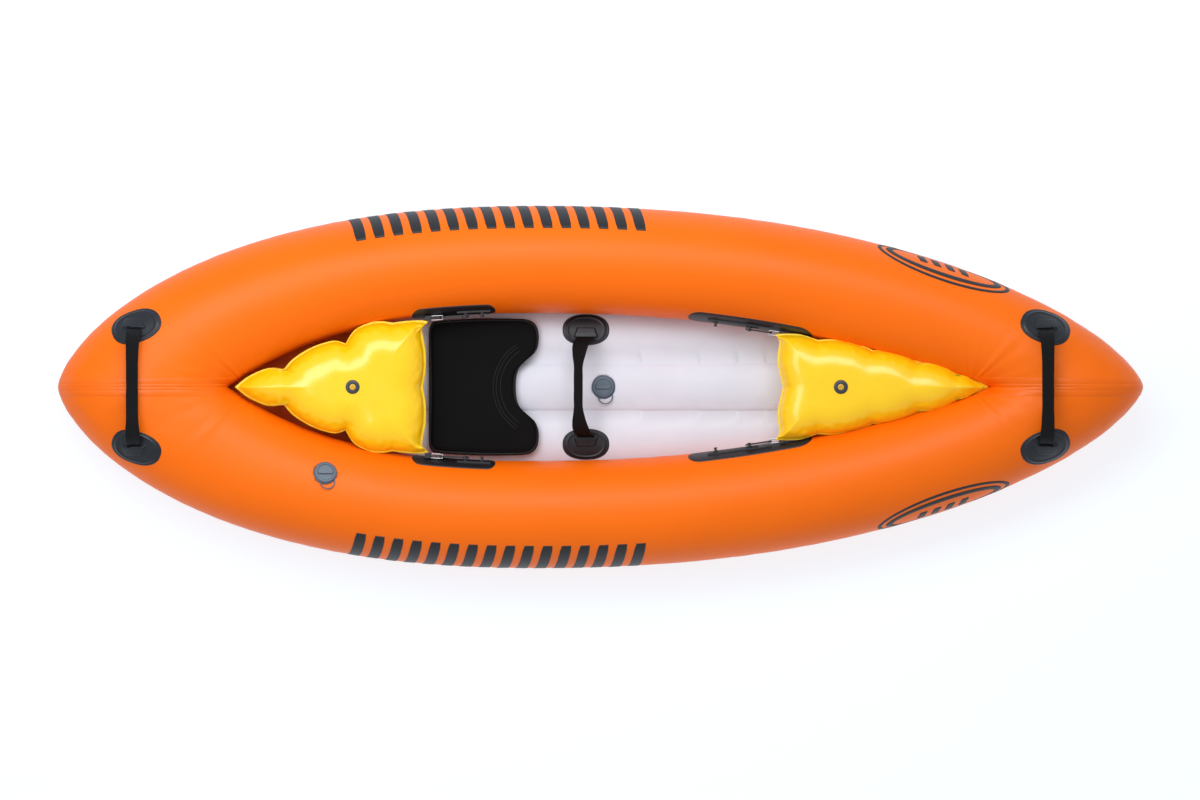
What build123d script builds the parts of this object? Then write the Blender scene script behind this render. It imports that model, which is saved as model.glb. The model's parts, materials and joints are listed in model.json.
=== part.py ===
"""Inflatable kayak: two air tubes, a drop-in floor, a seat and two air cushions.

Millimetres. +X points to the bow, +Y to port, +Z up. The origin is on the ground under
the middle of the boat. Both ends follow one rule: a section of the tube runs from an
outer edge point to a cockpit edge point, and s goes from 0 at the widest beam to 1 at
the tip, where the sections of the two tubes meet on the centre plane.
"""
import os
from collections import namedtuple
from math import cos, radians, sin

from build123d import *

os.makedirs("parts", exist_ok=True)

# Driving dimensions
HALF_BEAM = 433.7          # centre plane to the outer edge of a tube
HALF_COCKPIT = 177.0       # centre plane to the cockpit edge of a tube
BEAM_X = -109.0            # where the boat is widest
TUBE_RISE = 128.0          # half the height of a tube amidships
TIP_SLIMMING = 18.0        # how much lower that half height is at a tip
ROCKER = 45.0              # how far the keel line rises at the tips
KEEL_GAP = 1.5             # the tubes rest this far above the ground, on the bottom sheet
SHEET = 1.2                # thickness of the bottom sheet
TAPE = 0.8                 # thickness of welded tapes and anchor patches
TAPE_HALF_WIDTH = 22.5
SEAM_GAP = 0.05            # centre plane to the tube's end face inside a tip seam
RUBBER = 2.5               # thickness of the handle patches
MAT_TOP = 77.0             # crown of the floor chambers
MAT_VALLEY = 63.0
MAT_BOTTOM = 4.0
CHAMBER_HALF = 59.0        # half width of the middle floor chamber
WEBBING = 3.0
STRAP_WIDTH = 34.5
FLANGE_Z = 176.0           # welded rim of the air cushions
FLANGE = 2.0
CLIP_Z = 170.0             # height of the pegs, clips and wires
PEG_RADIUS = 3.0
CLIP_THICK = 4.0
WIRE_RADIUS = 1.5
TRACK = 4.0                # thickness of the tracks that hold the pegs
KEEPER = 9.0               # height of a keeper on its handle patch
CLEAR = 0.4                # room around whatever turns or slides

# One end of the boat: way is the sign of X, the reaches run from BEAM_X to the tips
End = namedtuple("End", "way outer_reach inner_reach outer_fall outer_round inner_fall fan")
STERN = End(-1, 1191.0, 784.0, 2.46, 0.653, 3, 1.7)
BOW = End(1, 1409.0, 1042.0, 2.04, 0.674, 2, 1.4)
STATIONS = (0.2, 0.4, 0.55, 0.7, 0.8, 0.88, 0.94, 0.98, 1.0)


def save(piece, label):
    """Name a finished piece and write it."""
    piece.label = label
    export_step(piece, f"parts/{label}.step")


def save_pair(piece, name):
    """Write a port piece and its mirror image to starboard."""
    save(piece, f"{name}_port")
    with BuildPart() as other:
        mirror(piece, about=Plane.XZ)
    save(other.part, f"{name}_starboard")


def tube_station(end, s):
    """Plane of the port tube's section at s, with its two half axes."""
    g = 1 - (1 - s) ** end.fan
    outer_y = HALF_BEAM * (1 - s**end.outer_fall) ** end.outer_round
    inner_y = HALF_COCKPIT * (1 - g**end.inner_fall)
    outer = Vector(BEAM_X + end.way * end.outer_reach * s, outer_y, 0)
    inner = Vector(BEAM_X + end.way * end.inner_reach * g, inner_y, 0)
    across = (outer - inner).normalized()
    rise = TUBE_RISE - TIP_SLIMMING * s**2
    centre = (outer + inner) * 0.5 + Vector(0, 0, KEEL_GAP + rise + ROCKER * s**3)
    plane = Plane(centre, x_dir=across, z_dir=(across.Y, -across.X, 0))
    return plane, (outer - inner).length / 2, rise


def oval(width, rise):
    """Ellipse drawn as an upper and a lower curve."""
    for start in (0, 180):
        turns = [radians(start + step) for step in range(0, 181, 15)]
        Spline(*[(width * cos(turn), rise * sin(turn)) for turn in turns])


def tube_loft(proud=0.0):
    """Port tube as a loft of its sections, grown by proud."""
    stations = [(STERN, s) for s in reversed(STATIONS)]
    stations += [(BOW, 0.0)] + [(BOW, s) for s in STATIONS]
    with BuildPart() as tube:
        for end, s in stations:
            plane, width, rise = tube_station(end, s)
            with BuildSketch(plane):
                with BuildLine():
                    oval(width + proud, rise + proud)
                make_face()
        loft()
    return tube.part


def cockpit_edge(x):
    """Distance from the centre plane to the cockpit edge at x."""
    end = BOW if x > BEAM_X else STERN
    return HALF_COCKPIT * (1 - (abs(x - BEAM_X) / end.inner_reach) ** end.inner_fall)


# ---------------------------------------------------------------- tubes and tapes
whole_tube = tube_loft()
with BuildPart() as trimmed_tube:
    add(whole_tube)
    with Locations((0, 0, TUBE_RISE)):
        Box(4000, 2 * SEAM_GAP, 1000, mode=Mode.SUBTRACT)
port_tube = trimmed_tube.part
taped_tube = tube_loft(TAPE)
patched_tube = tube_loft(RUBBER)
keeper_tube = tube_loft(KEEPER)
seated_tube = tube_loft(TAPE + 0.2)
track_tube = tube_loft(TAPE + TRACK)
with BuildPart() as mirrored_tube:
    mirror(port_tube, about=Plane.XZ)


def top_plane(solid, x, y):
    """Plane on the upper surface of a solid above x, y, square to that surface."""
    point, normal = solid.find_intersection_points(Axis((x, y, 600), (0, 0, -1)))[0]
    if normal.Z < 0:
        normal = -normal
    return Plane(point, x_dir=(1, 0, -normal.X / normal.Z), z_dir=normal)


def side_plane(plane):
    """Plane that holds another plane's normal as its own vertical direction."""
    return Plane(plane.origin, x_dir=plane.x_dir, z_dir=-plane.y_dir)


def turned(plane, profile):
    """Solid turned about the plane's normal from corners of radius and height."""
    with BuildPart() as piece:
        with BuildSketch(side_plane(plane)):
            with BuildLine():
                Polyline(*profile, close=True)
            make_face()
        revolve(axis=Axis(plane.origin, plane.z_dir))
    return piece.part


def seam_tape(low_x, high_x, label):
    """Tape over the seam between the tubes, from the cockpit to the tip."""
    with BuildPart() as half:
        with BuildSketch(Plane.XY.offset(TUBE_RISE + ROCKER - TIP_SLIMMING)):
            with Locations(((low_x + high_x) / 2, TAPE_HALF_WIDTH / 2)):
                Rectangle(high_x - low_x, TAPE_HALF_WIDTH)
        extrude(amount=200)
        add(taped_tube, mode=Mode.INTERSECT)
        add(whole_tube, mode=Mode.SUBTRACT)
    with BuildPart() as tape:
        add(half.part)
        mirror(half.part, about=Plane.XZ)
    save(tape.part, label)


seam_tape(-1320, -900, "stern_seam_tape")
seam_tape(940, 1320, "bow_seam_tape")


# ---------------------------------------------------------------- bottom sheet
def keel_points(end):
    """Keel line of one end: x, half width under the tube, height."""
    points = []
    for s in (0.3, 0.5, 0.7, 0.85, 1.0):
        plane, _, rise = tube_station(end, s)
        points.append((plane.origin.X, plane.origin.Y, plane.origin.Z - rise - KEEL_GAP))
    return points


stern_keel = keel_points(STERN)
bow_keel = keel_points(BOW)
stern_height = [(x, max(z - SHEET - 0.1, 0)) for x, y, z in stern_keel]
bow_height = [(x, max(z - SHEET - 0.1, 0)) for x, y, z in bow_keel]


def keel_lines(lift):
    """Side view of the bottom sheet's underside, raised by lift: flat, then rising ends."""
    Line((stern_height[0][0], lift), (bow_height[0][0], lift))
    Spline(*[(x, z + lift) for x, z in stern_height])
    Spline(*[(x, z + lift) for x, z in bow_height])


with BuildPart() as bottom_sheet:
    with BuildSketch(Plane.XZ):
        with BuildLine():
            keel_lines(0)
            keel_lines(SHEET)
            for x, z in (stern_height[-1], bow_height[-1]):
                Line((x, z), (x, z + SHEET))
        make_face()
    extrude(amount=400, both=True)
    with BuildSketch(Plane.XY):
        with BuildLine():
            Spline(*[(x, y) for x, y, z in reversed(stern_keel)], *[(x, y) for x, y, z in bow_keel])
            mirror(about=Plane.XZ)
        make_face()
    extrude(amount=200, mode=Mode.INTERSECT)
save(bottom_sheet.part, "bottom_sheet")


# ---------------------------------------------------------------- floor mat
def cockpit_outline(low_x, high_x, out):
    """Closed outline that follows the cockpit edges, moved outwards by out."""
    step = (high_x - low_x) / 8
    side = [(low_x + i * step, cockpit_edge(low_x + i * step) + out) for i in range(9)]
    Spline(*side)
    Spline(*[(x, -y) for x, y in side])
    for x, y in (side[0], side[-1]):
        Line((x, y), (x, -y))


MAT_X = (-560.0, 840.0)
with BuildPart() as floor_mat:
    with BuildSketch(Plane.YZ.offset(MAT_X[0])):
        with BuildLine():
            ThreePointArc((-CHAMBER_HALF, MAT_VALLEY), (0, MAT_TOP), (CHAMBER_HALF, MAT_VALLEY))
            for side in (-1, 1):
                edge = (side * 196, 52)
                ThreePointArc((side * CHAMBER_HALF, MAT_VALLEY), (side * 124, MAT_TOP), edge)
                Spline(edge, (side * 194, 28), (side * 176, MAT_BOTTOM))
            Line((-176, MAT_BOTTOM), (176, MAT_BOTTOM))
        make_face()
    extrude(amount=MAT_X[1] - MAT_X[0])
    with BuildSketch():
        with BuildLine():
            cockpit_outline(*MAT_X, 9)
        make_face()
    extrude(amount=150, mode=Mode.INTERSECT)
    with BuildSketch(Plane.XZ):
        with BuildLine():
            keel_lines(MAT_BOTTOM)
            Polyline(
                (stern_height[-1][0], stern_height[-1][1] + MAT_BOTTOM), (stern_height[-1][0], -50),
                (bow_height[-1][0], -50), (bow_height[-1][0], bow_height[-1][1] + MAT_BOTTOM))
        make_face()
    extrude(amount=400, both=True, mode=Mode.SUBTRACT)


# ---------------------------------------------------------------- seat
SEAT_BASE = MAT_TOP + 0.5
SEAT_THICK = 22.0
BINDING = 5.0


SEAT_MIDDLE = -300.0
SEAT_HALF = 164.0


def seat_outline(inset):
    """Lines of the seat from above: two thigh lobes in front, straight sides and back."""
    shrink = 1 - inset / SEAT_HALF

    def spot(x, y):
        return SEAT_MIDDLE + (x - SEAT_MIDDLE) * shrink, y * shrink

    for side in (-1, 1):
        lobe = [(-200, 62), (-176, 82), (-150, 112), (-166, 150), (-205, 164)]
        flank = [(-205, 164), (-300, 164), (-395, 158), (-410, 146)]
        Spline(*[spot(x, side * y) for x, y in lobe])
        Spline(*[spot(x, side * y) for x, y in flank])
    Line(spot(-410, -146), spot(-410, 146))
    ThreePointArc(spot(-200, 62), spot(-212, 0), spot(-200, -62))


with BuildPart() as seat_pad:
    with BuildSketch(Plane.XY.offset(SEAT_BASE)):
        with BuildLine():
            seat_outline(BINDING)
        make_face()
    extrude(amount=SEAT_THICK)
save(seat_pad.part, "seat_pad")
with BuildPart() as seat_binding:
    with BuildSketch(Plane.XY.offset(SEAT_BASE + 5)):
        with BuildLine():
            seat_outline(0)
        make_face()
    extrude(amount=SEAT_THICK - 10)
    add(seat_pad.part, mode=Mode.SUBTRACT)
save(seat_binding.part, "seat_binding")


# ---------------------------------------------------------------- carry handles
def handle_patch(solid, proud, boss, centre, tilt, exit_y, name):
    """Oval rubber patch welded on a tube, with the keeper that the strap comes out of."""
    with BuildPart() as keeper:
        with BuildSketch(Plane.XY.offset(120)):
            with Locations((centre[0], exit_y + WEBBING / 2 + 9.5)):
                RectangleRounded(52, 18, 4)
        extrude(amount=250)
        add(boss, mode=Mode.INTERSECT)
        add(solid, mode=Mode.SUBTRACT)
    with BuildPart() as patch:
        with BuildSketch(Plane.XY.offset(120)):
            with Locations(Location(centre, tilt)):
                SlotOverall(112, 78)
        extrude(amount=250)
        add(proud, mode=Mode.INTERSECT)
        add(solid, mode=Mode.SUBTRACT)
        add(keeper.part)
    save_pair(patch.part, name)


def handle_strap(pivot, exit_y, rise, lean, width, waist, name):
    """Webbing arch between two keepers. Its ends are round tongues that turn on the pivot."""
    end_radius = width / 2
    upright = Plane.YZ.offset(pivot[0] - end_radius)
    foot = pivot[1] - end_radius
    with BuildPart() as strap:
        with BuildSketch(upright):
            with BuildLine():
                FilletPolyline(
                    (-exit_y, foot), (-exit_y, pivot[1] + rise - 6), (0, pivot[1] + rise),
                    (exit_y, pivot[1] + rise - 6), (exit_y, foot), radius=[24, 900, 24])
                offset(amount=WEBBING, side=Side.LEFT)
            make_face()
        extrude(amount=width)
        with BuildSketch(Plane.XZ):
            with Locations((pivot[0], pivot[1])):
                Circle(end_radius)
            with Locations((pivot[0], pivot[1] + rise)):
                Rectangle(width, 2 * rise)
        extrude(amount=exit_y + 10, both=True, mode=Mode.INTERSECT)
        with BuildSketch(Plane.XY):
            with BuildLine():
                for side in (-1, 1):
                    edge = pivot[0] + side * end_radius
                    Spline(
                        (edge, -exit_y - 5), (edge - side * 1, -exit_y + 18),
                        (pivot[0] + side * waist / 2, -exit_y * 0.35),
                        (pivot[0] + side * waist / 2, exit_y * 0.35),
                        (edge - side * 1, exit_y - 18), (edge, exit_y + 5))
                for y in (-exit_y - 5, exit_y + 5):
                    Line((pivot[0] - end_radius, y), (pivot[0] + end_radius, y))
            make_face()
        extrude(amount=500, mode=Mode.INTERSECT)
    axis = Axis((pivot[0], 0, pivot[1]), (0, 1, 0))
    save(strap.part.rotate(axis, lean), name)


def strap_pivot(x, exit_y):
    """x and z of the line that a tip handle turns on."""
    return x, top_plane(port_tube, x, exit_y).origin.Z + STRAP_WIDTH / 2 + 6


TIP_HANDLES = {"stern": (-1118.0, 138.0), "bow": (1068.0, 136.0)}
CENTRE_PIVOT = (-35.0, MAT_TOP + 24.5)
# Patch centre, tilt of the patch and lean of the strap, towards the tip
for name, patch_centre, tilt, lean in (
        ("stern", (-1112.0, 145.0), 20, -8), ("bow", (1066.0, 143.0), -20, 8)):
    x, exit_y = TIP_HANDLES[name]
    handle_patch(
        port_tube, patched_tube, keeper_tube, patch_centre, tilt, exit_y, f"{name}_handle_patch")
    handle_strap(
        strap_pivot(x, exit_y), exit_y - WEBBING, 34, lean, STRAP_WIDTH, 29, f"{name}_handle_strap")

CENTRE_EXIT = 118.0
with BuildPart() as patch:
    with BuildSketch(Plane.XY.offset(60)):
        with Locations((CENTRE_PIVOT[0], 137)):
            SlotOverall(110, 70)
    extrude(amount=MAT_TOP + 2.5 - 60)
    with BuildSketch(Plane.XY.offset(60)):
        with Locations((CENTRE_PIVOT[0], CENTRE_EXIT + WEBBING / 2 + 9.5)):
            RectangleRounded(56, 18, 4)
    extrude(amount=MAT_TOP + 8 - 60)
    add(floor_mat.part, mode=Mode.SUBTRACT)
save_pair(patch.part, "centre_handle_patch")
handle_strap(CENTRE_PIVOT, CENTRE_EXIT - WEBBING, 58, -18, 42, 22, "centre_handle_strap")


# ---------------------------------------------------------------- air cushions
def cushion(nose_x, face_x, shape):
    """Wedge-shaped cushion with a welded rim; shape holds its half widths from nose to face."""
    middle = nose_x + (face_x - nose_x) * 0.62
    layers = ((84, 0.60), (100, 0.76), (132, 0.86), (166, 0.89), (205, 0.84), (226, 0.62))
    with BuildPart() as bag:
        for height, part_of in layers:
            lengthways = 1 - (1 - part_of) * 0.55
            with BuildSketch(Plane.XY.offset(height)):
                with BuildLine():
                    side = [(middle + (x - middle) * lengthways, y * part_of) for x, y in shape]
                    nose = (middle + (nose_x - middle) * lengthways, 0)
                    Spline(nose, *side)
                    Spline(nose, *[(x, -y) for x, y in side])
                    Line(side[-1], (side[-1][0], -side[-1][1]))
                make_face()
        loft(ruled=True)
        with BuildSketch(Plane.XY.offset(FLANGE_Z)):
            with BuildLine():
                Spline((nose_x, 0), *shape)
                Spline((nose_x, 0), *[(x, -y) for x, y in shape])
                Line(shape[-1], (shape[-1][0], -shape[-1][1]))
            make_face()
        extrude(amount=FLANGE)
    return bag


STERN_SHAPE = ((-845, 24), (-782, 47), (-696, 88), (-629, 112), (-567, 139), (-504, 152), (-414, 160))
BOW_SHAPE = ((873, 22), (763, 53), (652, 78), (507, 109), (420, 125))
stern_bag = cushion(-877, -414, STERN_SHAPE)
bow_bag = cushion(922, 420, BOW_SHAPE)
BAG_TOP = 226.0
PLUG_BORE = 6.6


def bag_valve(bag, x, name):
    """Flanged valve on top of a cushion, with its push-in plug."""
    top = Plane((x, 0, BAG_TOP))
    with bag:
        add(turned(top, ((0, -13), (10, -13), (10, 9), (0, 9))), mode=Mode.SUBTRACT)
    save(bag.part, f"{name}_bag")
    body = (
        (PLUG_BORE, -12), (9.7, -12), (9.7, 0.1), (17, 0.1), (16, 2.2), (11, 3.4), (8.5, 2.4),
        (PLUG_BORE, 1.6))
    save(turned(top, body), f"{name}_bag_valve")
    plug = (
        (0, -11), (5, -11), (6.2, -9), (6.2, 2), (7.4, 3.8), (7.4, 5.2), (3.2, 5.8), (2.4, 4.2),
        (0, 4.2))
    save(turned(top, plug), f"{name}_bag_plug")


bag_valve(stern_bag, -594, "stern")
bag_valve(bow_bag, 576, "bow")


# ---------------------------------------------------------------- inflation valves
def inflation_valve(seat, chamber, name):
    """Screw valve sunk in a chamber: base, sprung stem, cap with its collar and tether."""
    pocket = ((0, -44), (23.5, -44), (23.5, -3.3), (28.6, -3.3), (28.6, 20), (0, 20))
    with chamber:
        add(turned(seat, pocket), mode=Mode.SUBTRACT)
    base = (
        (4.6, -31), (23, -31), (23, -3), (28, -3), (28, -0.5), (25.5, 0.8), (19, 1.2), (19, -28),
        (4.6, -28))
    save(turned(seat, base), f"{name}_valve_base")
    stem = ((0, -34), (15, -34), (14, -31.5), (4, -31.5), (4, -15), (7.5, -15), (7.5, -12), (0, -12))
    save(turned(seat, stem), f"{name}_valve_stem")
    spring = ((5.2, -27.8), (7, -27.8), (7, -15.2), (5.2, -15.2))
    save(turned(seat, spring), f"{name}_valve_spring")
    collar = ((20.2, 1.7), (26, 1.7), (26, 2.9), (20.2, 2.9))
    save(turned(seat, collar), f"{name}_valve_collar")
    cap = (
        (0, -2), (14, -2), (14, -5.5), (16.6, -5.5), (16.6, 3.3), (25, 3.3), (25, 5.2), (23.8, 6.4),
        (20, 6.9), (18.5, 5), (0, 5))
    with BuildPart() as screw_cap:
        add(turned(seat, cap))
        with BuildSketch(seat.offset(4)):
            SlotOverall(34, 8)
        extrude(amount=6)
    save(screw_cap.part, f"{name}_valve_cap")
    with BuildPart() as tether:
        with BuildLine(seat.offset(1.5)) as path:
            ThreePointArc((-12, -25.5), (6, -40), (20.5, -18))
        with BuildSketch(Plane(path.line @ 0, z_dir=path.line % 0)):
            Circle(1.4)
        sweep()
    save(tether.part, f"{name}_valve_tether")


HULL_VALVE = (-659.5, -206.0)
FLOOR_VALVE_X = 7.0
with BuildPart() as starboard_tube:
    add(mirrored_tube.part)
hull_valve_seat = top_plane(mirrored_tube.part, *HULL_VALVE)
inflation_valve(hull_valve_seat, starboard_tube, "hull")
inflation_valve(Plane((FLOOR_VALVE_X, 0, MAT_TOP)), floor_mat, "floor")
save(port_tube, "port_hull_tube")
save(starboard_tube.part, "starboard_hull_tube")
save(floor_mat.part, "floor_mat")


# ---------------------------------------------------------------- cushion anchors
CLIP_LIFT = 4.0            # track face to the clip
CLIP_MIDDLE = CLIP_LIFT + CLIP_THICK / 2


def anchor_plane(x):
    """Plane on the port track's face at x: its normal points inboard, its x along the wall."""
    here, behind, ahead = [
        port_tube.find_intersection_points(Axis((spot, 0, CLIP_Z), (0, 1, 0)))[0][0]
        for spot in (x, x - 15, x + 15)]
    along = (ahead - behind).normalized()
    inboard = Vector(along.Y, -along.X, 0)
    return Plane(here + inboard * (TAPE + TRACK), x_dir=along, z_dir=inboard)


def wall_band(outside, inside, low_x, high_x, low_z, high_z):
    """Piece of skin on the cockpit side of the port tube."""
    with BuildPart() as band:
        with BuildSketch(Plane.XY.offset(low_z)):
            with Locations(((low_x + high_x) / 2, cockpit_edge((low_x + high_x) / 2))):
                RectangleRounded(high_x - low_x, 110, 8)
        extrude(amount=high_z - low_z)
        add(outside, mode=Mode.INTERSECT)
        add(inside, mode=Mode.SUBTRACT)
    return band.part


def anchor(peg_x, spare_x, reach, eye, leg, patch, name):
    """Patch, track with two pegs, clip and wire. reach is the sign of the way to the cushion."""
    save_pair(wall_band(taped_tube, port_tube, *patch, 132, 190), f"{name}_anchor_patch")
    plane = anchor_plane(peg_x)
    track_ends = sorted((peg_x + reach * 20, spare_x - reach * 20))
    with BuildPart() as track:
        add(wall_band(track_tube, seated_tube, *track_ends, CLIP_Z - 7, CLIP_Z + 7))
        for x in (peg_x, spare_x):
            root = anchor_plane(x)
            peg = (
                (0, -2), (5, -2), (5, CLIP_LIFT - 1), (PEG_RADIUS, CLIP_LIFT - CLEAR),
                (PEG_RADIUS, CLIP_LIFT + CLIP_THICK + CLEAR), (4.6, CLIP_LIFT + CLIP_THICK + CLEAR),
                (4.6, CLIP_LIFT + CLIP_THICK + 2), (0, CLIP_LIFT + CLIP_THICK + 2.4))
            add(turned(root, peg))
    save_pair(track.part, f"{name}_track")
    with BuildPart() as clip:
        with BuildSketch(plane.offset(CLIP_LIFT)):
            Circle(9)
            with Locations((reach * eye / 2, 0)):
                Rectangle(eye, 10)
            with Locations((reach * eye, 0)):
                Circle(7)
                Circle(WIRE_RADIUS + CLEAR, mode=Mode.SUBTRACT)
            Circle(PEG_RADIUS + CLEAR, mode=Mode.SUBTRACT)
            with BuildLine():
                Polyline((-3.4, 0), (3.4, 0), (5.4, -12), (-5.4, -12), close=True)
            make_face(mode=Mode.SUBTRACT)
        extrude(amount=CLIP_THICK)
    save_pair(clip.part, f"{name}_clip")
    with BuildPart() as wire:
        far = reach * (eye + leg)
        near_leg = CLIP_MIDDLE - 5
        far_leg = CLIP_MIDDLE + 5
        with BuildLine(side_plane(plane)) as path:
            FilletPolyline(
                (far, near_leg), (reach * eye, near_leg), (reach * eye, far_leg), (far, far_leg), radius=2.5)
        with BuildSketch(Plane(path.line @ 0, z_dir=path.line % 0)):
            Circle(WIRE_RADIUS)
        sweep()
    save_pair(wire.part, f"{name}_wire")
    with BuildPart() as lug:
        with BuildSketch(plane.offset(CLIP_MIDDLE - 5.8)):
            with Locations((far + reach * 8, 0.5)):
                RectangleRounded(16, FLANGE_Z - CLIP_Z + 5, 2)
        extrude(amount=12)
    save_pair(lug.part, f"{name}_lug")


anchor(-324, -284, -1, 55, 27, (-500, -255), "stern")
anchor(358, 277, 1, 48, 24, (214, 507), "bow")
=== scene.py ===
import json
import math

import bmesh
import bpy
import numpy as np
from mathutils import Matrix, Vector, noise
from mathutils.bvhtree import BVHTree


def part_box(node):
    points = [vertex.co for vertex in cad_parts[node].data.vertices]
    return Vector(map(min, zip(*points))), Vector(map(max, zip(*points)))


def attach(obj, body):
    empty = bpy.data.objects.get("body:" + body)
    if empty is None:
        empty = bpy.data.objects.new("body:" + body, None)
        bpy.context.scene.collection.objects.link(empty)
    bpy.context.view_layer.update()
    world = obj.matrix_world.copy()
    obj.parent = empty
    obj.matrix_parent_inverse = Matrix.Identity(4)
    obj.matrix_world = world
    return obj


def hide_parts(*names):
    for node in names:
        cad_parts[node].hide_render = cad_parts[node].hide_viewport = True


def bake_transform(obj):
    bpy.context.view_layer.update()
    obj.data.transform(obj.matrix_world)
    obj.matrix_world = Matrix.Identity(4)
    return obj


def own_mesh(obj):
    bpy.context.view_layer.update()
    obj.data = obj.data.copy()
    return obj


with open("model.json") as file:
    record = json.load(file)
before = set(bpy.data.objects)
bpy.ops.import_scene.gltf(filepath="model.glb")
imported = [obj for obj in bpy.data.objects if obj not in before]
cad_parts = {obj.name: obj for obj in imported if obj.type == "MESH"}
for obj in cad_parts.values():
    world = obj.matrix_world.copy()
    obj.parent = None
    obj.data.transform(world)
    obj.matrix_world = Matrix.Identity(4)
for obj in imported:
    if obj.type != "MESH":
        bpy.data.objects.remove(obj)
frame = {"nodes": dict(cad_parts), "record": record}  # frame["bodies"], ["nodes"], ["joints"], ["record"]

MM = 0.001
NODES = frame["nodes"]
JOINTS = {joint["name"]: joint for joint in frame["record"]["behaviour"]["joints"]}
FINE = 1.0
bpy.context.view_layer.update()

# ------------------------------------------------------------------ hull rule, in millimetres
HALF_BEAM = 433.7
HALF_COCKPIT = 177.0
BEAM_X = -109.0
TUBE_RISE = 128.0
TIP_SLIMMING = 18.0
ROCKER = 45.0
KEEL_GAP = 1.5
# way along X, outer reach, inner reach, outer fall, outer round, inner fall, fan
STERN = (-1, 1191.0, 784.0, 2.46, 0.653, 3, 1.7)
BOW = (1, 1409.0, 1042.0, 2.04, 0.674, 2, 1.4)


def section(u):
    """Middle, unit vector across and half axes of the port tube's section at u, from -1 to 1."""
    s = min(abs(u), 1.0)
    end = STERN if u < 0 else BOW
    way, outer_reach, inner_reach, outer_fall, outer_round, inner_fall, fan = end
    g = 1 - (1 - s) ** fan
    outer_y = HALF_BEAM * max(1 - s**outer_fall, 0) ** outer_round
    outer = Vector((BEAM_X + way * outer_reach * s, outer_y, 0))
    inner = Vector((BEAM_X + way * inner_reach * g, HALF_COCKPIT * (1 - g**inner_fall), 0))
    rise = TUBE_RISE - TIP_SLIMMING * s**2
    middle = (outer + inner) / 2
    middle.z = KEEL_GAP + rise + ROCKER * s**3
    return middle, (outer - inner).normalized(), (outer - inner).length / 2, rise


def skin(u, phi):
    """Point and outward direction on the rule's tube, phi 0 outside, 90 on top, in metres."""
    middle, across, half, rise = section(u)
    c, s = math.cos(phi), math.sin(phi)
    point = middle + across * half * c + Vector((0, 0, rise * s))
    out = across * (c / half) + Vector((0, 0, s / rise))
    return point * MM, out.normalized()


# ------------------------------------------------------------------ helpers
def wobble(x, y=0.0, z=0.0, size=0.05):
    """Smooth noise from -1 to 1 with features of that size in metres."""
    return noise.noise(Vector((x / size + 7.3, y / size - 3.1, z / size + 1.7)))


def soft_step(a, b, value):
    """Smooth rise from 0 at a to 1 at b."""
    t = min(max((value - a) / (b - a), 0.0), 1.0)
    return t * t * (3 - 2 * t)


def bell(value, width):
    """Smooth bump of height 1 about zero."""
    return math.exp(-(value / width) ** 2)


def mesh_object(name, points, faces):
    """Smooth closed mesh with its faces turned outwards."""
    mesh = bpy.data.meshes.new(name)
    mesh.from_pydata([tuple(p) for p in points], [], [tuple(f) for f in faces])
    work = bmesh.new()
    work.from_mesh(mesh)
    bmesh.ops.recalc_face_normals(work, faces=work.faces)
    work.to_mesh(mesh)
    work.free()
    mesh.polygons.foreach_set("use_smooth", [True] * len(mesh.polygons))
    mesh.update()
    obj = bpy.data.objects.new(name, mesh)
    bpy.context.collection.objects.link(obj)
    return obj


def tube_faces(rings, count):
    """Quads between successive closed rings of the same count."""
    faces = []
    for i in range(rings - 1):
        for j in range(count):
            k = (j + 1) % count
            a, b = i * count, (i + 1) * count
            faces.append((a + j, a + k, b + k, b + j))
    return faces


def capped(rings, count):
    """Faces of a closed body made of rings: sides and both ends."""
    last = (rings - 1) * count
    return tube_faces(rings, count) + [tuple(range(count)), tuple(range(last, last + count))]


def lathe(name, origin, normal, profile, count=64):
    """Closed solid turned about the normal from (radius, height) corners in millimetres."""
    turn = Vector(normal).to_track_quat("Z", "Y").to_matrix()
    points = []
    for radius, height in profile:
        for k in range(count):
            a = 2 * math.pi * k / count
            local = Vector((radius * math.cos(a), radius * math.sin(a), height))
            points.append(Vector(origin) + turn @ local * MM)
    return mesh_object(name, points, capped(len(profile), count))


def bake_cut(obj, cutter):
    """Cuts the cutter out of obj for good and removes the cutter."""
    cut = obj.modifiers.new("Cut", "BOOLEAN")
    cut.operation = "DIFFERENCE"
    cut.solver = "EXACT"
    cut.object = cutter
    bpy.context.view_layer.update()
    graph = bpy.context.evaluated_depsgraph_get()
    mesh = bpy.data.meshes.new_from_object(obj.evaluated_get(graph))
    obj.modifiers.clear()
    obj.data = mesh
    bpy.data.objects.remove(cutter)


def tree_of(*objs):
    """Search tree over the faces of the objects, for rays and nearest points."""
    points, faces = [], []
    for obj in objs:
        start = len(points)
        points += [obj.matrix_world @ v.co for v in obj.data.vertices]
        faces += [tuple(start + i for i in p.vertices) for p in obj.data.polygons]
    return BVHTree.FromPolygons(points, faces)


def drop(tree, x, y):
    """Highest point of the tree at x, y in metres, and the normal there, pointing up."""
    hit, normal, _, _ = tree.ray_cast(Vector((x, y, 0.6)), Vector((0, 0, -1)))
    if hit is None:
        hit, normal, _, _ = tree.find_nearest(Vector((x, y, 0.2)))
    return hit, normal if normal.z > 0 else -normal


def smooth_rows(field, times):
    """Repeated three-point averaging along both directions of a grid, closed in the second."""
    for _ in range(times):
        field = (np.roll(field, 1, 1) + 2 * field + np.roll(field, -1, 1)) / 4
        more = np.vstack([field[:1], field, field[-1:]])
        field = (more[:-2] + 2 * more[1:-1] + more[2:]) / 4
    return field


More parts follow.
